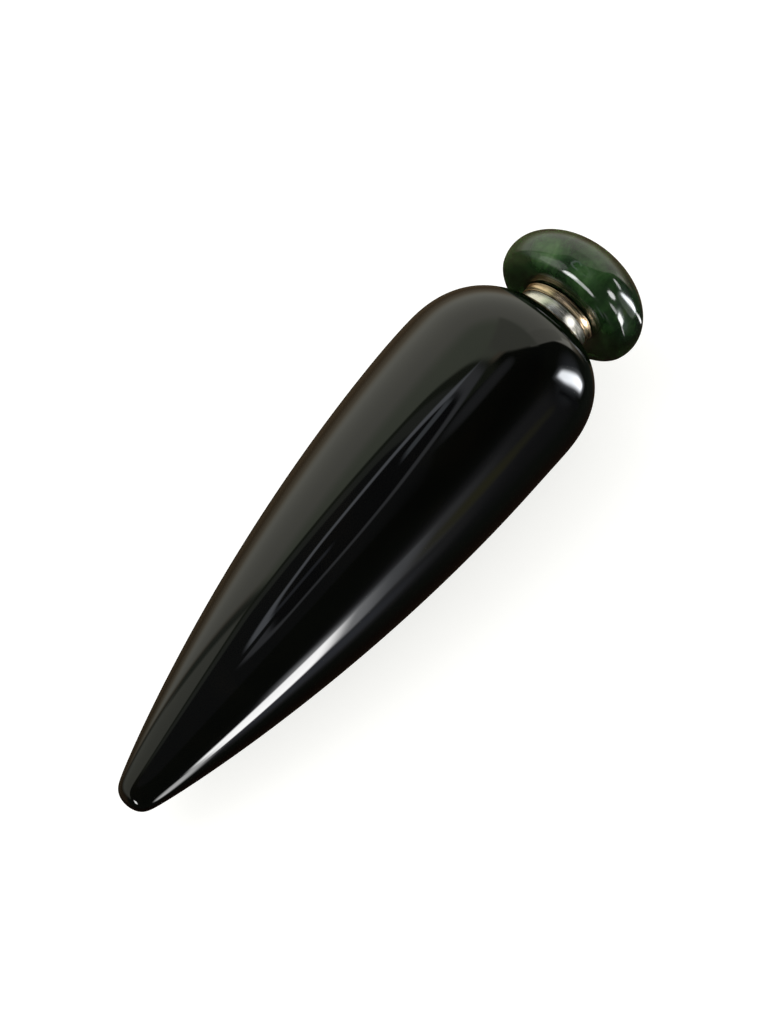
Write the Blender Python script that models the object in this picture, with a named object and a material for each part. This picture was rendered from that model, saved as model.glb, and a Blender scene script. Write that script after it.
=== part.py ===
"""A perfume vial: a carrot-shaped flask of polished black stone, a metal collar and a green stone stopper.

The vial lies on its side. Its round flank would roll, so a small flat spot is ground under its balance point.
The frame's origin is the middle of that flat spot. +X runs along the vial towards the stopper, +Z is up.
Every turned piece is drawn along its own axis, from the pointed tip at 0, and tilts as its flank makes it lie.
"""

import math

import bmesh
import bpy
from mathutils import Matrix, Vector
from mathutils.geometry import interpolate_bezier

# Flask, outside
BODY_LENGTH = 0.0748
BODY_RADIUS = 0.0120
BELLY_AT = 0.0644
TIP_LENGTH = 0.00133
TIP_RADIUS = 0.00228
TIP_SLOPE = 0.585
TIP_REACH = 0.0010
FLANK_REACH = 0.0342
SHOULDER_REACH = 0.0093
SEAT_RADIUS = 0.0050
SEAT_REACH = 0.0005

# Flask, inside
WALL = 0.0030
TIP_SOLID = 0.0190
BORE_RADIUS = 0.0036

# The neck leans sideways, because the flask was cut by hand
NECK_SHIFT = 0.00078
LEAN_FROM = 0.0580

# Flat spot that keeps the vial from rolling
FLAT_DEPTH = 0.0002

# Metal at the neck
FIT_GAP = 0.0003
COLLAR_RADIUS = 0.00467
COLLAR_HEIGHT = 0.00125
COLLAR_BULGE = 0.00022
LINING_WALL = 0.00045
LINING_LENGTH = 0.0026
FERRULE_HEIGHT = 0.00105
RIM_RADIUS = 0.00018
PLUG_WALL = 0.0006
PLUG_LENGTH = 0.0058

# Stopper head
HEAD_RADIUS = 0.0094
HEAD_RISE = 0.00608
HEAD_DROP = 0.00263
HEAD_EDGE = 0.0004

# Weight of each material in kg per cubic metre, used only to find the balance point
STONE_DENSITY = 2600
METAL_DENSITY = 9500

# Fineness of the turned surfaces
BODY_SIDES = 56
HEAD_SIDES = 48
METAL_SIDES = 40
FLANK_STEPS = 18
SHOULDER_STEPS = 9
DOME_STEPS = 5
HEAD_STEPS = 8

# Places along the axis
COLLAR_AT = BODY_LENGTH + FIT_GAP
FERRULE_AT = COLLAR_AT + COLLAR_HEIGHT + FIT_GAP
HEAD_AT = FERRULE_AT + FERRULE_HEIGHT
LINING_RADIUS = BORE_RADIUS - FIT_GAP
PLUG_RADIUS = LINING_RADIUS - LINING_WALL - FIT_GAP


def arc(centre, across, along, start, end, steps):
    """Points (radius, distance) of an elliptical arc; angles in degrees from the radial direction."""
    points = []
    for i in range(steps + 1):
        angle = math.radians(start + (end - start) * i / steps)
        points.append((centre[0] + across * math.cos(angle), centre[1] + along * math.sin(angle)))
    return points


def bezier(start, start_handle, end_handle, end, steps):
    """Points (radius, distance) of one Bezier stretch."""
    knots = [Vector((p[0], p[1], 0)) for p in (start, start_handle, end_handle, end)]
    return [(p.x, p.y) for p in interpolate_bezier(*knots, steps + 1)]


def flask_outside():
    """Outer profile from the tip's pole to the seat's rim: blunt dome, swelling flank, round shoulder."""
    dome = arc((0, TIP_LENGTH), TIP_RADIUS, TIP_LENGTH, -90, 0, DOME_STEPS)
    flank = bezier(
        (TIP_RADIUS, TIP_LENGTH),
        (TIP_RADIUS + TIP_SLOPE * TIP_REACH, TIP_LENGTH + TIP_REACH),
        (BODY_RADIUS, BELLY_AT - FLANK_REACH),
        (BODY_RADIUS, BELLY_AT),
        FLANK_STEPS,
    )
    shoulder = bezier(
        (BODY_RADIUS, BELLY_AT),
        (BODY_RADIUS, BELLY_AT + SHOULDER_REACH),
        (SEAT_RADIUS + SEAT_REACH, BODY_LENGTH),
        (SEAT_RADIUS, BODY_LENGTH),
        SHOULDER_STEPS,
    )
    return dome[:-1] + flank[:-1] + shoulder


def flask_inside(outside):
    """Cavity profile from the bore's mouth to the cavity's floor: the outer profile moved in by the wall."""
    inside = []
    for before, here, after in zip(outside, outside[1:], outside[2:]):
        run = Vector((after[0] - before[0], after[1] - before[1])).normalized()
        inner = (here[0] - run.y * WALL, here[1] + run.x * WALL)
        if inner[1] > TIP_SOLID + WALL and inner[0] > BORE_RADIUS:
            inside.append(inner)
    floor_radius, floor_end = inside[0]
    floor = arc((0, floor_end), floor_radius, floor_end - TIP_SOLID, 0, -90, DOME_STEPS)
    bore = [(BORE_RADIUS, BODY_LENGTH), (BORE_RADIUS, BODY_LENGTH - WALL)]
    return bore + inside[::-1] + floor[1:]


def collar_profile():
    """Silver collar: a bulging band on the seat, with a thin lining that goes down into the neck's bore."""
    middle = COLLAR_AT + COLLAR_HEIGHT / 2
    band = arc((COLLAR_RADIUS - COLLAR_BULGE, middle), COLLAR_BULGE, COLLAR_HEIGHT / 2, -90, 90, 6)
    hole = LINING_RADIUS - LINING_WALL
    foot = COLLAR_AT - FIT_GAP - LINING_LENGTH
    lining = [
        (hole, COLLAR_AT + COLLAR_HEIGHT),
        (hole, foot),
        (LINING_RADIUS, foot),
        (LINING_RADIUS, COLLAR_AT),
    ]
    return band + lining


def ferrule_profile():
    """Gold ferrule: a band between two round rims, with a hollow plug that closes the neck."""
    low = FERRULE_AT + RIM_RADIUS
    high = HEAD_AT - RIM_RADIUS
    waist = COLLAR_RADIUS - RIM_RADIUS
    lower_rim = arc((waist, low), RIM_RADIUS, RIM_RADIUS, -90, 60, 4)
    upper_rim = arc((waist, high), RIM_RADIUS, RIM_RADIUS, -60, 90, 4)
    hole = PLUG_RADIUS - PLUG_WALL
    foot = FERRULE_AT - PLUG_LENGTH
    plug = [
        (0, FERRULE_AT),
        (hole, FERRULE_AT),
        (hole, foot),
        (PLUG_RADIUS, foot),
        (PLUG_RADIUS, FERRULE_AT),
    ]
    return plug + lower_rim + upper_rim + [(0, HEAD_AT)]


def head_profile():
    """Stopper head: a flattened bead, cut flat below, with a shallow socket for the ferrule."""
    equator = HEAD_AT + HEAD_DROP
    cut = math.degrees(math.asin(HEAD_DROP / HEAD_RISE))
    dome = arc((0, equator), HEAD_RADIUS, HEAD_RISE, 90, 0, HEAD_STEPS)
    under = arc((0, equator), HEAD_RADIUS, HEAD_RISE, 0, -cut, HEAD_STEPS // 2)
    edge_radius = under[-1][0]
    socket = COLLAR_RADIUS + FIT_GAP
    base = [
        (edge_radius - HEAD_EDGE, HEAD_AT),
        (socket, HEAD_AT),
        (socket, HEAD_AT + FIT_GAP),
        (0, HEAD_AT + FIT_GAP),
    ]
    lifted = (edge_radius, HEAD_AT + HEAD_EDGE / 2)
    return dome[:-1] + under[:-1] + [lifted] + base


def solid_of_turning(profile):
    """Volume of the turned profile and its moment along the axis."""
    volume = 0.0
    moment = 0.0
    for (r1, z1), (r2, z2) in zip(profile, profile[1:] + profile[:1]):
        slice_volume = math.pi * (z2 - z1) * (r1 * r1 + r1 * r2 + r2 * r2) / 3
        volume += slice_volume
        moment += slice_volume * (z1 + z2) / 2
    return abs(volume), abs(moment)


def balance_point(pieces):
    """Distance from the tip to the centre of mass of all pieces, each a profile with its density."""
    mass = 0.0
    moment = 0.0
    for profile, density in pieces:
        volume, first = solid_of_turning(profile)
        mass += volume * density
        moment += first * density
    return moment / mass


def radius_at(outside, distance):
    """Radius of the outer profile at a distance from the tip."""
    for (r1, z1), (r2, z2) in zip(outside, outside[1:]):
        if z1 <= distance < z2:
            return r1 + (r2 - r1) * (distance - z1) / (z2 - z1)
    raise ValueError("the distance is past the seat")


def lying_place(outside, balance):
    """Matrix that lays the vial on its flank, with the flat spot's middle at the frame's origin."""
    reach = BELLY_AT / FLANK_STEPS
    foot = balance
    for _ in range(4):
        radius = radius_at(outside, foot)
        slope = (radius_at(outside, foot + reach) - radius_at(outside, foot - reach)) / (2 * reach)
        foot = balance - radius * slope
    lean = math.atan(slope)
    turn = Matrix.Rotation(math.pi / 2 - lean, 4, "Y")
    below = turn @ Vector((radius - FLAT_DEPTH, 0, foot))
    return Matrix.Translation(-below) @ turn


def lean_of(distance):
    """Sideways shift of the flask at a distance from the tip: none up to LEAN_FROM, then a growing curve."""
    share = max(0.0, distance - LEAN_FROM) / (BODY_LENGTH - LEAN_FROM)
    return NECK_SHIFT * min(share, 1.0) ** 2


def turned(name, profile, sides, place, shift, colour, roughness, metallic, closed):
    """A piece turned about its own axis, shifted sideways by shift(distance) and laid down by place."""
    mesh = bpy.data.meshes.new(name)
    work = bmesh.new()
    points = [work.verts.new((radius, 0, distance)) for radius, distance in profile]
    ends = points[1:] + points[:1] if closed else points[1:]
    edges = [work.edges.new(pair) for pair in zip(points, ends)]
    bmesh.ops.spin(
        work,
        geom=points + edges,
        cent=(0, 0, 0),
        axis=(0, 0, 1),
        angle=2 * math.pi,
        steps=sides,
        use_merge=True,
        use_duplicate=False,
    )
    bmesh.ops.remove_doubles(work, verts=work.verts, dist=1e-6)
    bmesh.ops.dissolve_degenerate(work, edges=work.edges, dist=1e-7)
    bmesh.ops.recalc_face_normals(work, faces=work.faces)
    for vertex in work.verts:
        vertex.co.y -= shift(vertex.co.z)
    work.to_mesh(mesh)
    work.free()
    mesh.shade_smooth()
    mesh.set_sharp_from_angle(angle=math.radians(35))
    piece = bpy.data.objects.new(name, mesh)
    piece.matrix_world = place
    bpy.context.collection.objects.link(piece)
    material = bpy.data.materials.new(name)
    material.use_nodes = True
    shader = material.node_tree.nodes["Principled BSDF"]
    shader.inputs["Base Color"].default_value = (*colour, 1)
    shader.inputs["Roughness"].default_value = roughness
    shader.inputs["Metallic"].default_value = metallic
    mesh.materials.append(material)
    return piece


def grind_flat(piece):
    """Cuts the flask level with the ground, so that it lies on a small flat spot."""
    size = 2 * BODY_LENGTH
    bpy.ops.mesh.primitive_cube_add(size=size, location=(0, 0, -size / 2))
    wheel = bpy.context.object
    wheel.name = "grinding_wheel"
    wheel.hide_render = True
    wheel.display_type = "WIRE"
    cut = piece.modifiers.new("flat_spot", "BOOLEAN")
    cut.operation = "DIFFERENCE"
    cut.solver = "EXACT"
    cut.object = wheel


def main():
    for thing in list(bpy.data.objects):
        bpy.data.objects.remove(thing)

    outside = flask_outside()
    flask = outside + flask_inside(outside)
    collar = collar_profile()
    ferrule = ferrule_profile()
    head = head_profile()
    balance = balance_point(
        [(flask, STONE_DENSITY), (collar, METAL_DENSITY), (ferrule, METAL_DENSITY), (head, STONE_DENSITY)]
    )
    place = lying_place(outside, balance)

    def at_neck(_distance):
        return NECK_SHIFT

    body = turned(
        "vial_body", flask, BODY_SIDES, place, lean_of,
        colour=(0.006, 0.006, 0.005), roughness=0.05, metallic=0, closed=False,
    )
    grind_flat(body)
    turned(
        "neck_collar", collar, METAL_SIDES, place, at_neck,
        colour=(0.78, 0.75, 0.70), roughness=0.22, metallic=1, closed=True,
    )
    turned(
        "stopper_ferrule", ferrule, METAL_SIDES, place, at_neck,
        colour=(0.86, 0.66, 0.44), roughness=0.2, metallic=1, closed=False,
    )
    turned(
        "stopper_head", head, HEAD_SIDES, place, at_neck,
        colour=(0.012, 0.042, 0.014), roughness=0.12, metallic=0, closed=False,
    )


main()
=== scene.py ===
import math

import bpy
import numpy as np
from mathutils import Matrix, Vector


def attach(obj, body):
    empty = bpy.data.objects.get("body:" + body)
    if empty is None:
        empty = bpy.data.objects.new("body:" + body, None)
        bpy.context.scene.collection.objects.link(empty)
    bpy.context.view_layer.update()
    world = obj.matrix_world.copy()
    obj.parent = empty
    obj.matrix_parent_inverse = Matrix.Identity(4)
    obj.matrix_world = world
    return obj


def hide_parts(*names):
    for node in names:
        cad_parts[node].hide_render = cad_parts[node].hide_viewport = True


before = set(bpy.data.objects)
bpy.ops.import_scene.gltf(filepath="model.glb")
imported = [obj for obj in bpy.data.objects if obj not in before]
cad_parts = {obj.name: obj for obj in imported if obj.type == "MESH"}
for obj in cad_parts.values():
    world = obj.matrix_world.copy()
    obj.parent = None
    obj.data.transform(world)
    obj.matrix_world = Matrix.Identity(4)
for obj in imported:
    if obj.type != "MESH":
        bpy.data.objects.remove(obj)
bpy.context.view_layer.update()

mm = 0.001
allRound = 2 * math.pi
imageHeight = 1024


# Placing: every turned piece is drawn in millimetres from the tip's pole, as (radius, distance along)

def cadPoints(node):
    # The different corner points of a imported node, one row each
    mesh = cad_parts[node].data
    flat = np.empty(len(mesh.vertices) * 3, np.float32)
    mesh.vertices.foreach_get("co", flat)
    return np.unique(flat.reshape(-1, 3).round(6).astype(float), axis=0)


neckMiddle = cadPoints("neck_collar").mean(axis=0)
along = cadPoints("stopper_head").mean(axis=0) - neckMiddle
along /= np.linalg.norm(along)
sideways = np.array((0.0, 1.0, 0.0))
downward = np.cross(sideways, along)
flaskPoints = cadPoints("vial_body")
tipPole = flaskPoints[np.argmin(flaskPoints @ along)]
neckShift = float((tipPole - neckMiddle) @ sideways)
print("placed: the axis rises by", round(math.degrees(math.asin(along[2])), 2), "degrees")


def arcPoints(centre, across, length, start, end, count):
    # An elliptical arc: centre + (across x cos, length x sin), angles in degrees from the radius
    angle = np.radians(np.linspace(start, end, count))
    return np.column_stack((centre[0] + across * np.cos(angle), centre[1] + length * np.sin(angle)))


def bezierPoints(knots, count):
    # One Bezier stretch: the four knots weighted by the cubic Bernstein sums
    share = np.linspace(0, 1, count)[:, None]
    rest = 1 - share
    first, second, third, last = np.array(knots, float)
    return rest**3 * first + 3 * rest**2 * share * second + 3 * rest * share**2 * third + share**3 * last


def runOf(profile):
    # Distance along the profile to each of its points
    return np.concatenate(((0.0,), np.cumsum(np.hypot(*np.diff(profile, axis=0).T))))


def readAt(profile, places):
    # The profile's points at these distances along it
    run = runOf(profile)
    return np.column_stack([np.interp(places, run, profile[:, k]) for k in (0, 1)])


def eased(profile, reach, spacing=0.05):
    # The profile evenly respaced and averaged with a bell curve of that reach, so that its curvature flows.
    # It is mirrored about the pole at its start and turned about its last point, so both stay where they are.
    length = runOf(profile)[-1]
    points = readAt(profile, np.linspace(0, length, int(length / spacing) + 1))
    margin = int(4 * reach / spacing)
    before = points[margin:0:-1] * (-1, 1)
    after = 2 * points[-1] - points[-2:-margin - 2:-1]
    longer = np.concatenate((before, points, after))
    bell = np.exp(-0.5 * (np.arange(-margin, margin + 1) * spacing / reach) ** 2)
    bell /= bell.sum()
    return np.column_stack([np.convolve(longer[:, k], bell, "valid") for k in (0, 1)])


def respaced(profile, stretches):
    # The profile read at new places: stretches are (share of its run, number of steps) one after another
    starts = [0.0] + [end for end, steps in stretches]
    places = [np.linspace(low, high, steps + 1)[1:] for low, (high, steps) in zip(starts, stretches)]
    return readAt(profile, np.concatenate([(0.0,), *places]) * runOf(profile)[-1])


def turnedPiece(name, profile, sides, shift, closed=False, recess=None):
    # A surface of turning: tip pole + distance x axis + radius x (cos x downward + sin x sideways)
    # - shift x sideways. The profile runs so that outward lies on its left. A closed one joins its last
    # point to its first. The UV map holds (share of the turn, millimetres along the profile). The recess
    # is 0 on open metal and 1 in grooves.
    radius, distance = profile.T
    rings = len(profile)
    angle = np.arange(sides) * allRound / sides
    around = np.cos(angle)[:, None] * downward + np.sin(angle)[:, None] * sideways
    centre = tipPole + (distance * mm)[:, None] * along - (shift(distance) * mm)[:, None] * sideways
    points = centre[:, None, :] + (radius * mm)[:, None, None] * around[None, :, :]
    points[..., 2] = np.maximum(points[..., 2], 0.0)   # the flat spot ground under the flank

    pole = radius < 1e-6
    index = np.arange(rings * sides).reshape(rings, sides)
    index[pole] = index[pole][:, :1]
    if closed:
        index, pole, profile = (np.concatenate((part, part[:1])) for part in (index, pole, profile))
    beside = np.roll(index, -1, axis=1)
    corners = np.stack((index[:-1], beside[:-1], beside[1:], index[1:]), axis=-1)
    run = runOf(profile)
    share = np.arange(sides) / sides
    turn = np.stack((share, share + 1 / sides, share + 1 / sides, share), axis=-1)[None, :, :]
    height = np.stack((run[:-1], run[:-1], run[1:], run[1:]), axis=-1)[:, None, :]
    places = np.stack(np.broadcast_arrays(turn, height), axis=-1)

    # Four corners to a face, but three where a ring is a pole
    kinds = ((~pole[:-1] & ~pole[1:], (0, 1, 2, 3)), (pole[:-1], (0, 2, 3)), (pole[1:], (0, 1, 2)))
    used = np.unique(index)
    faces, maps = [], []
    for chosen, kept in kinds:
        faces += np.searchsorted(used, corners[chosen][..., kept]).reshape(-1, len(kept)).tolist()
        maps.append(places[chosen][..., kept, :].ravel())

    mesh = bpy.data.meshes.new(name)
    mesh.from_pydata(points.reshape(-1, 3)[used], [], faces)
    mesh.uv_layers.new(name="turning").data.foreach_set("uv", np.concatenate(maps).astype(np.float32))
    if recess is not None:
        depth = mesh.attributes.new("recess", "FLOAT", "POINT")
        depth.data.foreach_set("value", np.repeat(recess, sides)[used].astype(np.float32))
    mesh.shade_smooth()
    mesh.update()
    piece = bpy.data.objects.new(name, mesh)
    bpy.context.scene.collection.objects.link(piece)
    print("made", name, "with", len(mesh.polygons), "faces")
    return piece


# Onyx flask

flaskShape = {
    "length": 74.8,
    "radius": 12.0,
    "bellyAt": 64.4,
    "tipLength": 1.33,
    "tipRadius": 2.28,
    "tipHandle": (2.865, 2.33),
    "flankReach": 34.2,    # how far the pull of the belly reaches down the flank, and up the shoulder
    "shoulderReach": 9.3,
    "seatRadius": 5.0,
    "seatHandle": 0.5,
    "ease": 0.7,           # how far the curvature is spread along the profile
    "wall": 3.0,
    "solidTip": 19.0,
    "boreRadius": 3.6,
    "leanFrom": 58.0,
    "boreChamfer": 0.1,
    "steps": ((0.07, 46), (0.74, 96), (1.0, 96)),      # rings up to that share of the profile
    "sides": 256,
}


def flaskLean(distance):
    # Sideways shift of the flask: none up to leanFrom, then neckShift x share squared
    start, end = flaskShape["leanFrom"], flaskShape["length"]
    share = np.clip((distance - start) / (end - start), 0, 1)
    return neckShift / mm * share**2


def neckLean(distance):
    # Sideways shift of all that stands on the neck: neckShift throughout
    return np.full(np.shape(distance), neckShift / mm)


def flaskProfile():
    # Dome = half an ellipse, flank and shoulder = one Bezier stretch each, eased together, then the seat, the
    # bore, the cavity = outside - wall x its normal, and its floor = a quarter of an ellipse
    s = flaskShape
    dome = arcPoints((0, s["tipLength"]), s["tipRadius"], s["tipLength"], -90, 0, 60)
    flank = bezierPoints(
        ((s["tipRadius"], s["tipLength"]), s["tipHandle"],
         (s["radius"], s["bellyAt"] - s["flankReach"]), (s["radius"], s["bellyAt"])), 600)
    shoulder = bezierPoints(
        ((s["radius"], s["bellyAt"]), (s["radius"], s["bellyAt"] + s["shoulderReach"]),
         (s["seatRadius"] + s["seatHandle"], s["length"]), (s["seatRadius"], s["length"])), 300)
    smooth = eased(np.concatenate((dome[:-1], flank[:-1], shoulder)), s["ease"])
    outside = respaced(smooth, s["steps"])
    coarse = smooth[::40]    # every 2 mm, enough for the inside
    way = np.gradient(coarse, axis=0)
    way /= np.linalg.norm(way, axis=1)[:, None]
    inner = coarse + s["wall"] * np.column_stack((-way[:, 1], way[:, 0]))
    inner = inner[(inner[:, 1] > s["solidTip"] + s["wall"]) & (inner[:, 0] > s["boreRadius"])][::-1]
    floorRadius, floorEnd = inner[-1]
    floor = arcPoints((0, floorEnd), floorRadius, floorEnd - s["solidTip"], 0, -90, 9)[1:]
    bore = np.array((
        (s["boreRadius"] + s["boreChamfer"], s["length"]), (s["boreRadius"], s["length"] - s["boreChamfer"]),
        (s["boreRadius"], s["length"] - s["wall"])))
    return np.concatenate((outside, bore, inner, floor))


flask = turnedPiece("onyxFlask", flaskProfile(), flaskShape["sides"], flaskLean)


# Silver collar

collarShape = {
    "foot": 74.83,         # stands on the seat
    "flange": 0.14,        # thin foot ring under the band
    "flangeRadius": 4.62,
    "lowRadius": 4.50,     # the band widens a little towards the stopper
    "highRadius": 4.64,
    "bulge": 0.05,
    "groove": 0.05,        # depth and width of the groove over the foot ring
    "grooveFloor": 0.03,
    "footRound": 0.07,
    "edgeRound": 0.04,
    "rim": 0.45,           # flat rim at the top, then the chamfered hole
    "chamfer": 0.08,
    "top": 76.60,
    "lining": 3.3,
    "hole": 2.85,
    "liningFoot": 72.2,
    "sides": 192,
}


def collarProfile():
    # A thin foot ring, a fine groove, the widening band = straight line + bulge x sine, then the lining
    # in the bore. The recess values follow the profile's points.
    s = collarShape
    foot, rounding, floor = s["footRound"], s["edgeRound"], s["grooveFloor"]
    half = s["flange"] / 2
    ring = arcPoints((s["flangeRadius"] - foot, s["foot"] + half), foot, half, -90, 80, 10)
    low = s["foot"] + s["flange"] + s["groove"]
    groove = np.array(((s["lowRadius"] - s["groove"], low - floor), (s["lowRadius"] - s["groove"], low)))
    share = np.linspace(0, 1, 34)
    band = np.column_stack((
        s["lowRadius"] + (s["highRadius"] - s["lowRadius"]) * share + s["bulge"] * np.sin(math.pi * share),
        low + floor + (s["top"] - rounding - low - floor) * share))
    edge = arcPoints((s["highRadius"] - rounding, s["top"] - rounding), rounding, rounding, 20, 90, 5)
    lining = np.array((
        (s["highRadius"] - s["rim"], s["top"]), (s["hole"] + s["chamfer"], s["top"]),
        (s["hole"], s["top"] - s["chamfer"]),
        (s["hole"], s["liningFoot"]), (s["lining"], s["liningFoot"]), (s["lining"], s["foot"])))
    profile = np.concatenate((ring, groove, band, edge, lining))
    hidden = np.zeros(len(profile))
    hidden[len(ring) - 2:len(ring) + len(groove) + 1] = 1
    hidden[-len(lining) - 2:] = 1
    return profile, hidden


profile, hidden = collarProfile()
collar = turnedPiece("silverCollar", profile, collarShape["sides"], neckLean, closed=True, recess=hidden)


# Gold ferrule

ferruleShape = {
    "foot": 76.63,
    "top": 77.72,
    "lowBead": 0.085,      # radius of the fine round wire at the foot
    "lowRadius": 4.74,
    "waistLow": 4.60,      # the band between the wires widens towards the stopper
    "waistHigh": 4.74,
    "hollow": 0.035,
    "highBead": 0.075,     # and of the two at the top
    "beadStep": 0.05,      # how far the lower of the two stands back
    "footRim": 0.5,
    "highRadius": 4.84,
    "plug": 2.55,
    "plugWall": 0.6,
    "plugFoot": 70.85,
    "sides": 192,
}


def ferruleProfile():
    # The plug's hollow, foot and outside, the lower wire = an arc, the band = straight line
    # - hollow x sine, and the two upper wires = arcs
    s = ferruleShape
    hole = s["plug"] - s["plugWall"]
    plug = np.array(((0, s["foot"]), (hole, s["foot"]), (hole, s["plugFoot"]), (s["plug"], s["plugFoot"]),
                     (s["plug"], s["foot"]), (s["lowRadius"] - s["footRim"], s["foot"])))
    small, fine = s["lowBead"], s["highBead"]
    lower = arcPoints((s["lowRadius"] - small, s["foot"] + small), small, small, -90, 75, 14)
    middle = arcPoints((s["highRadius"] - s["beadStep"] - fine, s["top"] - 3 * fine), fine, fine, -70, 60, 10)
    upper = arcPoints((s["highRadius"] - fine, s["top"] - fine), fine, fine, -60, 90, 12)
    share = np.linspace(0, 1, 16)
    start, end = s["foot"] + 2.1 * small, s["top"] - 4.1 * fine    # just clear of the wires
    band = np.column_stack((
        s["waistLow"] + (s["waistHigh"] - s["waistLow"]) * share - s["hollow"] * np.sin(math.pi * share),
        start + (end - start) * share))
    profile = np.concatenate((plug, lower, band, middle, upper, ((0, s["top"]),)))
    hidden = np.zeros(len(profile))
    hidden[:len(plug) + 2] = 1
    atBand = len(plug) + len(lower)
    hidden[atBand - 2:atBand + 1] = 1
    hidden[atBand + len(band) - 1:atBand + len(band) + 1] = 0.8
    hidden[-3:] = 1
    return profile, hidden


profile, hidden = ferruleProfile()
ferrule = turnedPiece("goldFerrule", profile, ferruleShape["sides"], neckLean, recess=hidden)


# Nephrite stopper

stopperShape = {
    "radius": 9.4,
    "rise": 6.08,
    "equator": 80.33,
    "underside": 77.70,
    "edge": 0.9,            # size of its rounding, which reaches edge x these shares inwards and up the side
    "edgeInward": 1.6,
    "edgeUpward": 1.3,
    "edgeFull": 0.5,        # share inwards of the knot that pulls the rounding out
    "socket": 5.0,
    "socketDepth": 0.3,
    "lip": (0.06, 0.05),    # width and height of the socket's chamfer
    "sides": 192,
}


def stopperProfile():
    # From the socket's middle over the flat underside and its soft edge, round the bead to the top's pole
    s = stopperShape
    cut = math.degrees(math.asin((s["equator"] - s["underside"]) / s["rise"]))
    side = arcPoints((0, s["equator"]), s["radius"], s["rise"], -cut, 90, 300)
    rim = side[0]
    first = int(np.searchsorted(runOf(side), s["edgeUpward"] * s["edge"]))
    start, pull = (rim[0] - s[key] * s["edge"] for key in ("edgeInward", "edgeFull"))
    edge = bezierPoints(
        ((start, s["underside"]), (pull, s["underside"]), side[first // 3], side[first]), 20)
    ceiling = s["underside"] + s["socketDepth"]
    lipWidth, lipHeight = s["lip"]
    base = np.array(((0, ceiling), (s["socket"], ceiling), (s["socket"], s["underside"] + lipHeight),
                     (s["socket"] + lipWidth, s["underside"])))
    return np.concatenate((base, edge[:-1], respaced(side[first:], ((0.45, 60), (1.0, 60)))))


stopper = turnedPiece("nephriteStopper", stopperProfile(), stopperShape["sides"], neckLean)

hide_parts("vial_body")
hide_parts("neck_collar")
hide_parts("stopper_ferrule")
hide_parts("stopper_head")
for piece, slot in ((flask, "black_onyx"), (collar, "silver"), (ferrule, "gold"), (stopper, "nephrite")):
    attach(piece, "root")


# Materials

def linear(hexColour, strength=1.0):
    # Linear colour of an sRGB hex value: v / 12.92 up to 0.04045, else ((v + 0.055) / 1.055) to the power 2.4
    parts = [int(hexColour[i:i + 2], 16) / 255 for i in (1, 3, 5)]
    light = [v / 12.92 if v <= 0.04045 else ((v + 0.055) / 1.055) ** 2.4 for v in parts]
    return (*(v * strength for v in light), 1.0)


def addNode(tree, kind, values=None, links=None, **settings):
    # Adds one shader node with its settings, its socket values and the sockets linked into it
    node = tree.nodes.new("ShaderNode" + kind)
    for name, value in settings.items():
        setattr(node, name, value)
    for socket, value in (values or {}).items():
        node.inputs[socket].default_value = value
    for socket, source in (links or {}).items():
        tree.links.new(source, node.inputs[socket])
    return node


def newMaterial(name, piece):
    # An empty node material on the piece, with its shader linked to the output
    material = bpy.data.materials.new(name)
    material.use_nodes = True
    tree = material.node_tree
    tree.nodes.clear()
    shader = addNode(tree, "BsdfPrincipled")
    addNode(tree, "OutputMaterial", links={"Surface": shader.outputs["BSDF"]})
    piece.data.materials.append(material)
    return tree, shader


def ramp(tree, factor, stops):
    # A colour ramp on a factor: stops are (place, sRGB hex)
    node = addNode(tree, "ValToRGB", links={"Fac": factor})
    elements = node.color_ramp.elements
    while len(elements) < len(stops):
        elements.new(1.0)
    for element, (place, colour) in zip(elements, stops):
        element.position = place
        element.color = linear(colour)
    return node.outputs["Color"]


def mapRange(tree, value, low, high, newLow, newHigh, smooth=False):
    # The value taken from low..high to newLow..newHigh and held at the ends
    node = addNode(
        tree, "MapRange", interpolation_type="SMOOTHSTEP" if smooth else "LINEAR",
        values={"From Min": low, "From Max": high, "To Min": newLow, "To Max": newHigh},
        links={"Value": value})
    return node.outputs["Result"]


# Polished black onyx, cut and buffed by hand: all but black, with faint olive and brown bands deep in the
# stone, so that the eye reads it only by its mirror-clear reflections
onyx = {
    "ior": 1.54,
    "roughness": 0.03,
    "bandWidth": 7.0,       # mm from one band to the next
    "bandTurn": (0.3, 0.5, 0.2),
    "bandStretch": (1.0, 1.0, 2.2),
    "waveWidth": 9.0,       # mm, long low waves left by hand polishing
    "waveHeight": 0.003,    # mm
    "hazeWidth": 2.5,       # mm, patches where the polish is a little duller
    "colours": ((0.0, "#010101"), (0.5, "#030302"), (0.75, "#060503"), (1.0, "#020202")),
}
tree, shader = newMaterial("polishedBlackOnyx", flask)
shader.inputs["IOR"].default_value = onyx["ior"]
place = addNode(tree, "TexCoord").outputs["Object"]
turnedIn = addNode(
    tree, "Mapping", values={"Rotation": onyx["bandTurn"], "Scale": onyx["bandStretch"]},
    links={"Vector": place})
bands = addNode(
    tree, "TexNoise", links={"Vector": turnedIn.outputs["Vector"]},
    values={"Scale": 1 / (onyx["bandWidth"] * mm), "Detail": 3.0, "Roughness": 0.45, "Distortion": 0.8})
tree.links.new(ramp(tree, bands.outputs["Fac"], onyx["colours"]), shader.inputs["Base Color"])
haze = addNode(
    tree, "TexNoise", values={"Scale": 1 / (onyx["hazeWidth"] * mm), "Detail": 4.0}, links={"Vector": place})
tree.links.new(
    mapRange(tree, haze.outputs["Fac"], 0.35, 0.75, onyx["roughness"] * 0.8, onyx["roughness"] * 1.6),
    shader.inputs["Roughness"])
waves = addNode(
    tree, "TexNoise", values={"Scale": 1 / (onyx["waveWidth"] * mm), "Detail": 1.0}, links={"Vector": place})
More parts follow.
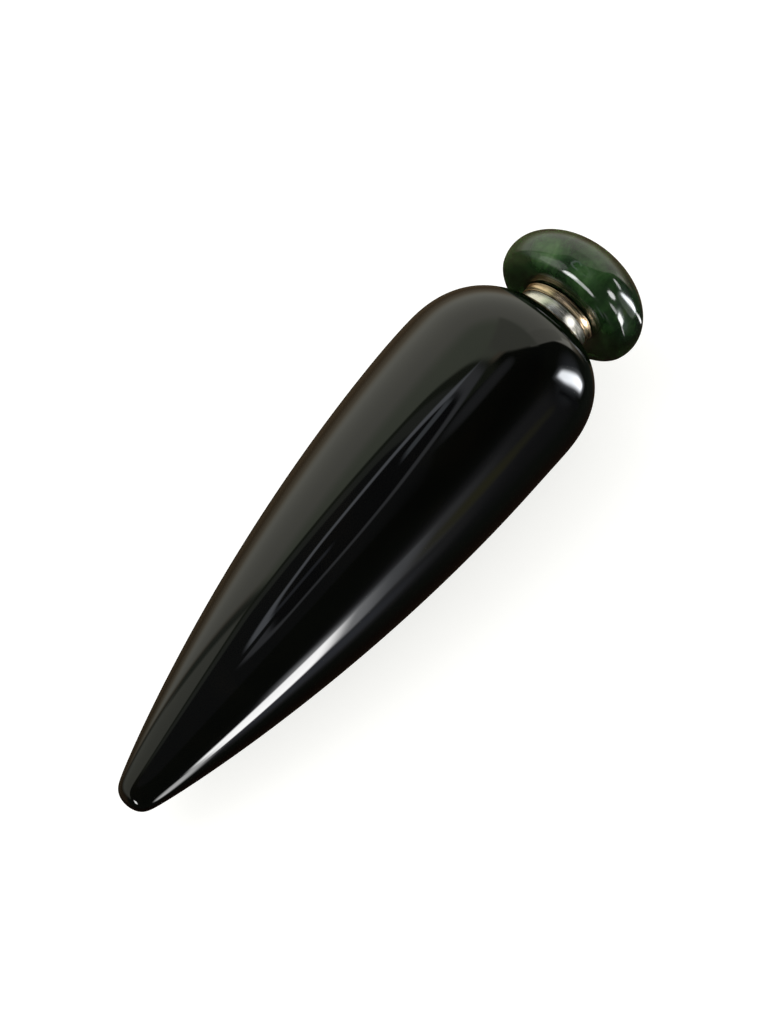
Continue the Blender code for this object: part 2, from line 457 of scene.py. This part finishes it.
polish = addNode(
    tree, "Bump", values={"Strength": 1.0, "Distance": onyx["waveHeight"] * mm},
    links={"Height": waves.outputs["Fac"]})
tree.links.new(polish.outputs["Normal"], shader.inputs["Normal"])

# Polished nephrite jade, cut and buffed: a tough felt of fibres, so dark and mid greens drift into each other
# in soft clouds, with black specks, and light sinks in a little before it comes back
nephrite = {
    "ior": 1.61,
    "roughness": 0.10,
    "cloudWidth": 5.5,      # mm
    "cloudPlace": (0.013, 0.004, 0.0),
    "cloudTurn": (0.2, 0.7, 0.4),
    "cloudStretch": (1.0, 1.7, 1.0),
    "fibreWidth": 0.9,      # mm
    "fibreShare": 0.16,     # how much the fibres break up the clouds
    "fibreHeight": 0.0015,  # mm, the orange peel that polishing leaves on them
    "speckWidth": 1.6,      # mm between the specks
    "speckDarkness": 0.4,
    "depth": 0.9,           # mm that light travels under the surface
    "sinking": 0.3,         # share of the light that does so, and how far each colour goes
    "sinkingColour": (0.4, 1.0, 0.45),
    "colours": ((0.28, "#0d1a0a"), (0.45, "#1a2e17"), (0.56, "#264120"), (0.74, "#3f5c34")),
    "speck": "#060c06",
}
tree, shader = newMaterial("polishedNephrite", stopper)
shader.inputs["IOR"].default_value = nephrite["ior"]
shader.inputs["Subsurface Weight"].default_value = nephrite["sinking"]
shader.inputs["Subsurface Radius"].default_value = nephrite["sinkingColour"]
shader.inputs["Subsurface Scale"].default_value = nephrite["depth"] * mm
place = addNode(tree, "TexCoord").outputs["Object"]
turnedIn = addNode(
    tree, "Mapping", links={"Vector": place},
    values={"Location": nephrite["cloudPlace"], "Rotation": nephrite["cloudTurn"],
            "Scale": nephrite["cloudStretch"]})
clouds = addNode(
    tree, "TexNoise", links={"Vector": turnedIn.outputs["Vector"]},
    values={"Scale": 1 / (nephrite["cloudWidth"] * mm), "Detail": 5.0, "Roughness": 0.5, "Distortion": 0.9})
fibres = addNode(
    tree, "TexNoise", links={"Vector": turnedIn.outputs["Vector"]},
    values={"Scale": 1 / (nephrite["fibreWidth"] * mm), "Detail": 6.0, "Roughness": 0.65})
drift = addNode(
    tree, "Mix", data_type="FLOAT", values={"Factor": nephrite["fibreShare"]},
    links={"A": clouds.outputs["Fac"], "B": fibres.outputs["Fac"]})
green = ramp(tree, drift.outputs["Result"], nephrite["colours"])
specks = addNode(
    tree, "TexVoronoi", values={"Scale": 1 / (nephrite["speckWidth"] * mm), "Randomness": 1.0},
    links={"Vector": place})
dark = mapRange(tree, specks.outputs["Distance"], 0.08, 0.2, nephrite["speckDarkness"], 0.0)
speckled = addNode(
    tree, "Mix", data_type="RGBA", values={"B": linear(nephrite["speck"])},
    links={"Factor": dark, "A": green})
tree.links.new(speckled.outputs["Result"], shader.inputs["Base Color"])
tree.links.new(
    mapRange(
        tree, fibres.outputs["Fac"], 0.35, 0.7, nephrite["roughness"] * 0.7, nephrite["roughness"] * 1.5),
    shader.inputs["Roughness"])
orangePeel = addNode(
    tree, "Bump", values={"Strength": 1.0, "Distance": nephrite["fibreHeight"] * mm},
    links={"Height": fibres.outputs["Fac"]})
tree.links.new(orangePeel.outputs["Normal"], shader.inputs["Normal"])


def turnedMetal(name, piece, look):
    # Metal spun on a lathe and polished: fine lines round it, soft wear, and a darker skin out of a cloth's
    # reach
    tree, shader = newMaterial(name, piece)
    shader.inputs["Metallic"].default_value = 1.0
    place = addNode(tree, "TexCoord").outputs["Object"]
    turning = addNode(tree, "UVMap", uv_map="turning").outputs["UV"]
    stretched = addNode(
        tree, "Mapping", values={"Scale": (look["breaks"], 1 / look["lineWidth"], 1.0)},
        links={"Vector": turning})
    lines = addNode(
        tree, "TexNoise", noise_dimensions="2D", links={"Vector": stretched.outputs["Vector"]},
        values={"Scale": 1.0, "Detail": 3.0, "Roughness": 0.6})
    wear = addNode(
        tree, "TexNoise", values={"Scale": 1 / (look["wearWidth"] * mm), "Detail": 4.0},
        links={"Vector": place})
    recess = addNode(tree, "Attribute", attribute_name="recess").outputs["Fac"]
    skin = addNode(
        tree, "Math", operation="MULTIPLY_ADD", use_clamp=True, values={1: look["wear"]},
        links={0: mapRange(tree, wear.outputs["Fac"], 0.4, 0.7, 0.0, 1.0), 2: recess})
    colour = addNode(
        tree, "Mix", data_type="RGBA", values={"A": linear(look["metal"]), "B": linear(look["skin"])},
        links={"Factor": skin.outputs["Value"]})
    tree.links.new(colour.outputs["Result"], shader.inputs["Base Color"])
    tree.links.new(
        mapRange(tree, lines.outputs["Fac"], 0.3, 0.7, look["roughness"] * 0.7, look["roughness"] * 1.4),
        shader.inputs["Roughness"])
    ridges = addNode(
        tree, "Bump", links={"Height": lines.outputs["Fac"]},
        values={"Strength": 1.0, "Distance": look["lineHeight"] * mm})
    tree.links.new(ridges.outputs["Normal"], shader.inputs["Normal"])


# Silver, spun and hand polished: bright and neutral, softened by years of rubbing, brownish grey in its
# grooves
silverLook = {
    "metal": "#eeeadf",
    "skin": "#5a4e45",
    "roughness": 0.24,
    "lineWidth": 0.06,      # mm between turning lines
    "lineHeight": 0.0012,   # mm
    "breaks": 6.0,          # how often a line fades and comes back on its way round
    "wearWidth": 0.8,       # mm
    "wear": 0.2,            # how much of the darker skin is left on open metal
}
turnedMetal("turnedSilver", collar, silverLook)

# Gold of low carat, reddish from its copper, spun and polished: warm, with a brown skin beside the beads
goldLook = {
    "metal": "#f2d8b2",
    "skin": "#8e6449",
    "roughness": 0.22,
    "lineWidth": 0.05,
    "lineHeight": 0.001,
    "breaks": 6.0,
    "wearWidth": 0.9,
    "wear": 0.2,
}
turnedMetal("turnedRoseGold", ferrule, goldLook)
print("made the four finishes")


# Floor

def plainFloor(name, half, height):
    # A level square: four corners at (+-half, +-half, height)
    corners = [(x * half, y * half, height) for x, y in ((-1, -1), (1, -1), (1, 1), (-1, 1))]
    mesh = bpy.data.meshes.new(name)
    mesh.from_pydata(corners, [], [(0, 1, 2, 3)])
    floor = bpy.data.objects.new(name, mesh)
    bpy.context.scene.collection.objects.link(floor)
    return floor


paleCard = {
    "halfWidth": 2.0,       # m
    "height": -0.00002,     # m, just clear of the flat spot
    "roughness": 0.9,
    "colour": "#a8a8a6",
    "glow": 1.95,           # painted glow: the card itself emits light, though it is no lamp, which keeps the shadow on it soft and pale
}
floor = plainFloor("paleFloor", paleCard["halfWidth"], paleCard["height"])
floor.visible_glossy = False    # the stones mirror the room described below, not the pale sheet
floor.visible_diffuse = False   # and the sheet throws no light up under the stopper
tree, shader = newMaterial("mattPaleCard", floor)
shader.inputs["Base Color"].default_value = linear(paleCard["colour"])
shader.inputs["Roughness"].default_value = paleCard["roughness"]
shader.inputs["Specular IOR Level"].default_value = 0.0
# Painted glow: the card emits its own colour as light, though it is no lamp, which lifts it and pales the
# shadow cast on it
shader.inputs["Emission Color"].default_value = linear(paleCard["colour"])
shader.inputs["Emission Strength"].default_value = paleCard["glow"]


# Room as the polished stones see it, as patches of light and shade on the sky, later ones on top of
# earlier ones. Directions are (azimuth, elevation) in degrees, azimuth 0 along +X and 90 along +Y. A patch
# is a convex outline through its corners, which an inset makes smaller, or a round one with a middle and
# a reach, and may be held between two azimuths or over a lowest elevation. Its edges are soft over so many
# degrees each way.

roomBase = ("#e8ffe8", 0.035)
ceilingOutline = ((102, 47), (63, 63), (48.5, 67.4), (30, 71), (8, 73), (-18, 72.3), (-72, 45), (-135, 40),
                  (165, 45))
ringNorthSide = ((172, 77.7), (155, 77), (132, 76.2), (107, 76.3), (58, 77.1), (36.5, 76.2), (24, 75.7))
ringSouthSide = ((13, 75.3), (-18.5, 75.2), (-42, 75.4), (-61, 75), (-81, 73.2), (-98, 72), (-124, 70.4),
                 (-138, 72), (-152, 74.4))
roomPatches = (
    {"name": "sideGlow", "middle": (-76, -4), "reach": 22, "soft": 19, "colour": "#f2f4ff", "strength": 0.1},
    {"name": "brownFloor", "azimuths": (-18, 175), "soft": 4, "middle": (0, -90), "reach": 82,
     "colour": "#ffdcae", "strength": 0.12},
    {"name": "darkFloor", "middle": (0, -90), "reach": 42, "soft": 14, "colour": "#ffcdb0",
     "strength": 0.018},
    {"name": "wallFoot", "azimuths": (-20, 97), "soft": 2, "low": -16, "lowSoft": 14, "colour": "#fff0d2",
     "strength": 0.62},
    {"name": "sideWall", "corners": ((99, -30), (99, 53), (114, 57), (130, 51), (176, 26), (176, -30)),
     "soft": 2, "low": -4, "lowSoft": 12, "colour": "#fbffee", "strength": 0.62},
    {"name": "wall", "corners": ((-20, -60), (-21, 30), (-21, 60), (103, 58), (96, -12), (95, -60)),
     "soft": 1.5, "low": -8, "lowSoft": 8, "colour": "#fffff0", "strength": 0.92},
    {"name": "wallEdge", "corners": ((-20.5, 18), (-14.5, 18), (-14, -8), (-20, -8)), "soft": 1.0,
     "colour": "#fffdf0", "strength": 1.45},
    {"name": "wallTop", "azimuths": (-5, 99), "low": 44, "lowSoft": 8, "soft": 2, "colour": "#f3ffe4",
     "strength": 0.72},
    {"name": "cornerLine", "corners": ((102, 52), (99, 52), (97.5, 14), (100, 14)), "soft": 1.0,
     "colour": "#f0ffe8", "strength": 0.2},
    {"name": "ceilingEast", "corners": ceilingOutline, "soft": 1.0, "azimuths": (-40, 138),
     "colour": "#eaffdc", "strength": 0.13},
    {"name": "ceilingStrip", "corners": ceilingOutline, "inset": 2.8, "soft": 1.0, "azimuths": (-30, 142),
     "azimuthSoft": 8, "colour": "#f4fff0", "strength": 0.25},
    {"name": "ceiling", "corners": ceilingOutline, "inset": 7.8, "soft": 1.0, "colour": "#f0f8ff",
     "strength": 0.07},
    {"name": "darkest", "middle": (-66, 44), "reach": 16, "soft": 12, "colour": "#f0fff0", "strength": 0.012},
    {"name": "wallCorner", "corners": ((-19, 4), (-24.2, 27.8), (-28.5, 38.6), (-29.5, 48), (-8, 48),
     (-8, 4)), "soft": 1.0, "colour": "#fffff0", "strength": 0.82},
    {"name": "wallCornerTop", "corners": ((-28.5, 40), (-30, 52), (-29, 63), (-21, 69.8), (-10, 72.4),
     (8, 73.2), (30, 69), (30, 40)), "soft": 2.5, "colour": "#fbffec", "strength": 0.6},
    {"name": "ringTail", "middle": (-52, 67), "reach": 5, "soft": 2.5, "colour": "#f2f6ff", "strength": 0.22},
    {"name": "ringSouth", "corners": ringSouthSide, "inset": -1.4, "soft": 0.9, "colour": "#f2f6ff",
     "strength": 0.5},
    {"name": "ringNorth", "corners": ringNorthSide, "inset": -1.4, "soft": 0.9, "colour": "#eef4ff",
     "strength": 1.3},
    {"name": "ringInside", "corners": ringNorthSide + ringSouthSide, "inset": 1.4, "soft": 0.9,
     "colour": "#e8eeff", "strength": 0.05},
    {"name": "ringBarWest", "corners": ((160, 79), (-178, 80), (-150, 85.5), (168, 86.5)), "soft": 0.8,
     "colour": "#e4ecff", "strength": 0.32},
    {"name": "ringBarEast", "corners": ((-10, 84.5), (2, 78), (22, 77), (28, 83)), "soft": 0.8,
     "colour": "#eaf4ff", "strength": 0.75},
    {"name": "windowTail", "corners": ((-69, 17), (-84, 19), (-93, 14), (-97, -34), (-78, -28), (-71, -10)),
     "soft": 6, "colour": "#f6f8ff", "strength": 0.18},
    {"name": "lowGlow", "middle": (-90, -19), "reach": 7, "soft": 7, "colour": "#e4ecff", "strength": 0.5},
    {"name": "windowFade", "corners": ((-75.5, 11.5), (-87, 14), (-96, 12), (-96, -14), (-78.5, -9)),
     "soft": 4.5, "colour": "#f8faff", "strength": 0.45},
    {"name": "olivePatch", "middle": (-76.3, -2), "reach": 5, "soft": 5, "colour": "#fffcb4",
     "strength": 0.28},
    {"name": "windowHalo", "corners": ((-82.3, 10), (-88, 11), (-98, 11), (-98, -13), (-83.6, -8)),
     "soft": 2.2, "colour": "#f4f8ff", "strength": 1.05},
    {"name": "windowBloom", "corners": ((-87.5, 7), (-96, 8), (-99, -15), (-86.5, -11)), "soft": 2.5,
     "colour": "#fafcff", "strength": 3.0},
    {"name": "flankWindow", "corners": ((-90.5, 4.5), (-96, 2), (-101, -3), (-103, -9), (-99.5, -20),
     (-93, -16), (-89.7, -11)), "soft": 1.8, "colour": "#ffffff", "strength": 18},
    {"name": "flankWindowFoot", "corners": ((-100.5, -12), (-105, -17), (-106.5, -32), (-101, -38),
     (-98, -24)), "soft": 2.5, "colour": "#ffffff", "strength": 6},
    {"name": "shoulderGlow", "middle": (-47, -1), "reach": 15, "soft": 11, "colour": "#e8f2ff",
     "strength": 0.3},
    {"name": "curtainEdge", "corners": ((-64, 4), (-61.5, 6), (-50, -30), (-53, -32)), "soft": 2.0,
     "colour": "#e8f0ff", "strength": 0.05},
    {"name": "shoulderHalo", "corners": ((-57.5, 19), (-47, 16), (-35, -14), (-37, -26), (-46, -26),
     (-58, 6)), "soft": 3.0, "colour": "#f2f8ff", "strength": 1.2},
    {"name": "shoulderWindow", "corners": ((-55, 15.5), (-48.5, 13), (-39, -14), (-40, -23), (-45, -23),
     (-55.5, 5)), "soft": 2.6, "colour": "#f6faff", "strength": 16},
    {"name": "farWindow", "corners": ((-172, 0), (-166, -18), (-156, -20), (-160, -4)), "soft": 2,
     "colour": "#ffffff", "strength": 14},
)


def skyDirection(azimuth, elevation):
    # Unit vector of a direction given in degrees
    a, e = math.radians(azimuth), math.radians(elevation)
    return Vector((math.cos(a) * math.cos(e), math.sin(a) * math.cos(e), math.sin(e)))


def halfSky(tree, direction, towards, edge, soft):
    # 1 where direction . towards is over edge, 0 below it, with a smooth step as wide as twice soft
    lean = addNode(
        tree, "VectorMath", operation="DOT_PRODUCT", values={1: tuple(towards)}, links={0: direction})
    return mapRange(tree, lean.outputs["Value"], edge - soft, edge + soft, 0.0, 1.0, smooth=True)


def patchMask(tree, direction, patch):
    # How much of the patch is seen in the direction: the product of the half skies that bound it
    soft = math.radians(patch["soft"])
    bounds = []
    if "middle" in patch:
        reach = math.radians(patch["reach"])
        bounds.append((skyDirection(*patch["middle"]), math.cos(reach), soft * math.sin(reach)))
    if "corners" in patch:
        corners = [skyDirection(*corner) for corner in patch["corners"]]
        middle = sum(corners, Vector()).normalized()
        for here, there in zip(corners, corners[1:] + corners[:1]):
            inward = here.cross(there).normalized()
            inward *= math.copysign(1.0, inward.dot(middle))
            bounds.append((inward, math.sin(math.radians(patch.get("inset", 0))), soft))
    if "azimuths" in patch:
        first, last = patch["azimuths"]
        side = math.radians(patch.get("azimuthSoft", patch["soft"]))
        bounds.append((skyDirection(first + 90, 0), 0.0, side))
        bounds.append((skyDirection(last - 90, 0), 0.0, side))
    if "low" in patch:
        low = math.radians(patch["low"])
        bounds.append((skyDirection(0, 90), math.sin(low), math.radians(patch["lowSoft"]) * math.cos(low)))
    mask = None
    for bound in bounds:
        edge = halfSky(tree, direction, *bound)
        if mask is not None:
            edge = addNode(tree, "Math", operation="MULTIPLY", links={0: mask, 1: edge}).outputs["Value"]
        mask = edge
    return mask


world = bpy.data.worlds.new("softStudio")
bpy.context.scene.world = world
world.use_nodes = True
tree = world.node_tree
tree.nodes.clear()
direction = addNode(tree, "TexCoord").outputs["Generated"]
room = None
for patch in roomPatches:
    step = addNode(
        tree, "Mix", data_type="RGBA", label=patch["name"],
        links={"Factor": patchMask(tree, direction, patch)},
        values={"A": linear(*roomBase), "B": linear(patch["colour"], patch["strength"])})
    if room is not None:
        tree.links.new(room, step.inputs["A"])
    room = step.outputs["Result"]

studioLight = {
    "brightFrom": (125, 35),        # azimuth and elevation of the brightest part of the dome
    "brightEdge": (0.2, 0.8),       # where it passes into the dim part, and how softly
    "horizonSoft": 0.1,
    "bright": ("#ffffff", 1.25),
    "dim": ("#ffffff", 0.2),
    "below": ("#ffffff", 0.03),
    "backdrop": "#fefefe",
}
brightFrom = skyDirection(*studioLight["brightFrom"])
sided = addNode(
    tree, "Mix", data_type="RGBA",
    links={"Factor": halfSky(tree, direction, brightFrom, *studioLight["brightEdge"])},
    values={"A": linear(*studioLight["dim"]), "B": linear(*studioLight["bright"])})
dome = addNode(
    tree, "Mix", data_type="RGBA",
    values={"A": linear(*studioLight["below"])},
    links={"Factor": halfSky(tree, direction, (0, 0, 1), 0.0, studioLight["horizonSoft"]),
           "B": sided.outputs["Result"]})
path = addNode(tree, "LightPath")
plain = addNode(
    tree, "Mix", data_type="RGBA", values={"B": linear(studioLight["backdrop"])},
    links={"Factor": path.outputs["Is Camera Ray"], "A": dome.outputs["Result"]})
seen = addNode(
    tree, "Mix", data_type="RGBA",
    links={"Factor": path.outputs["Is Glossy Ray"], "A": plain.outputs["Result"], "B": room})
background = addNode(tree, "Background", links={"Color": seen.outputs["Result"]})
addNode(tree, "OutputWorld", links={"Surface": background.outputs["Background"]})
world.cycles.sampling_method = "NONE"
print("made the room light")


def areaLight(name, shape, size, energy, location, towards):
    # An area light at a place, turned so that it faces another
    light = bpy.data.lights.new(name, "AREA")
    light.shape = shape
    light.size, light.size_y = size
    light.energy = energy
    lamp = bpy.data.objects.new(name, light)
    lamp.location = location
    lamp.visible_camera = False
    lamp.rotation_mode = "QUATERNION"
    lamp.rotation_quaternion = (Vector(towards) - lamp.location).to_track_quat("-Z", "Y")
    bpy.context.scene.collection.objects.link(lamp)
    return lamp


softBoxLight = {"across": 0.5, "watts": 1.5, "place": (-0.25, 0.35, 0.6)}
softBox = areaLight(
    "softBox", "ELLIPSE", (softBoxLight["across"],) * 2, softBoxLight["watts"], softBoxLight["place"],
    (0, 0, 0))
softBox.visible_glossy = False

# Small cards of light that only one piece mirrors: middle, one end and the place that they face, in mm
lightCards = (
    {"seenBy": "stopper", "middle": (-9.3, 33.3, 56.4), "end": (-23.8, 46.4, 28.6),
     "faces": (27.2, 0.4, 22.0), "width": 40, "brightness": 0.75},
    {"seenBy": "stopper", "middle": (-9.7, -4.5, 33.4), "end": (-11.7, -20.2, 28.0),
     "faces": (27.0, -2.6, 21.6), "width": 26, "brightness": 6},
    {"seenBy": "stopper", "middle": (3.0, 1.5, 35.9), "end": (1.7, -2.5, 33.1),
     "faces": (27.0, -1.9, 21.9), "width": 14, "brightness": 8},
    {"seenBy": "stopper", "middle": (32.0, -30.1, 35.1), "end": (32.4, -32.6, 31.4),
     "faces": (28.5, -6.7, 20.6), "width": 7, "brightness": 11},
    {"seenBy": "stopper", "middle": (22.9, -33.9, 25.9), "end": (23.5, -35.7, 20.6),
     "faces": (27.8, -7.5, 19.5), "width": 3.4, "brightness": 5},
    {"seenBy": "stopper", "middle": (43.1, -29.9, 19.2), "end": (45.5, -29.8, 6.7),
     "faces": (29.4, -8.2, 18.9), "width": 14.0, "brightness": 0.6},
    {"seenBy": "stopper", "middle": (74.3, -41.4, 39.7), "end": (71.3, -47.9, 35.0),
     "faces": (30.0, -6.4, 20.9), "width": 8.4, "brightness": 6},
    {"seenBy": "stopper", "middle": (44.7, -18.8, 3.9), "end": (44.7, -14.4, -1.3),
     "faces": (30.4, -9.5, 16.3), "width": 1.6, "brightness": 5},
    {"seenBy": "silver", "middle": (38.4, -54.4, 45.7), "end": (40.2, -61.4, 26.5),
     "faces": (24.8, -3.7, 16.6), "width": 22, "brightness": 1.9},
    {"seenBy": "gold", "middle": (34.8, -40.6, 63.3), "end": (27.6, -9.3, 90.3),
     "faces": (26.1, -3.0, 17.3), "width": 27, "brightness": 0.42},
)
cardsFor = {}
for who, piece in (("stopper", stopper), ("silver", collar), ("gold", ferrule)):
    cardsFor[who] = bpy.data.collections.new("cardsFor_" + who)
    cardsFor[who].objects.link(piece)
for number, card in enumerate(lightCards):
    middle, end, faces = (Vector(card[key]) * mm for key in ("middle", "end", "faces"))
    length, width = 2 * (end - middle).length, card["width"] * mm
    ellipseArea = math.pi / 4 * length * width
    energy = card["brightness"] * math.pi * ellipseArea
    lamp = areaLight("lightCard%d" % number, "ELLIPSE", (length, width), energy, middle, faces)
    back = (middle - faces).normalized()
    side = (end - middle).cross(back).normalized()
    lamp.rotation_quaternion = Matrix((back.cross(side), -side, back)).transposed().to_quaternion()
    lamp.visible_diffuse = False
    lamp.light_linking.receiver_collection = cardsFor[card["seenBy"]]


# Camera

cameraView = {
    "azimuth": -51.612,
    "elevation": 61.44,
    "focalPixels": 2500,
    "aimedAt": 44.73,       # mm along the axis from the tip
    "distance": 286.07,     # mm
    "right": 0.331,
    "up": -0.283,
    "sensor": 36.0,
}
azimuth, elevation = math.radians(cameraView["azimuth"]), math.radians(cameraView["elevation"])
level = math.cos(elevation)
back = Vector((math.sin(azimuth) * level, -math.cos(azimuth) * level, math.sin(elevation)))
right = Vector((math.cos(azimuth), math.sin(azimuth), 0.0))
up = back.cross(right)
camera = bpy.data.objects.new("camera", bpy.data.cameras.new("camera"))
camera.data.sensor_width = cameraView["sensor"]
camera.data.lens = cameraView["focalPixels"] / imageHeight * cameraView["sensor"]
camera.data.clip_start, camera.data.clip_end = 0.01, 10.0
camera.location = (
    Vector(tipPole) + Vector(along) * cameraView["aimedAt"] * mm + back * cameraView["distance"] * mm
    + right * cameraView["right"] * mm + up * cameraView["up"] * mm)
camera.rotation_mode = "QUATERNION"
camera.rotation_quaternion = (-back).to_track_quat("-Z", "Y")
bpy.context.scene.collection.objects.link(camera)
bpy.context.scene.camera = camera
bpy.context.scene.view_settings.view_transform = "Standard"
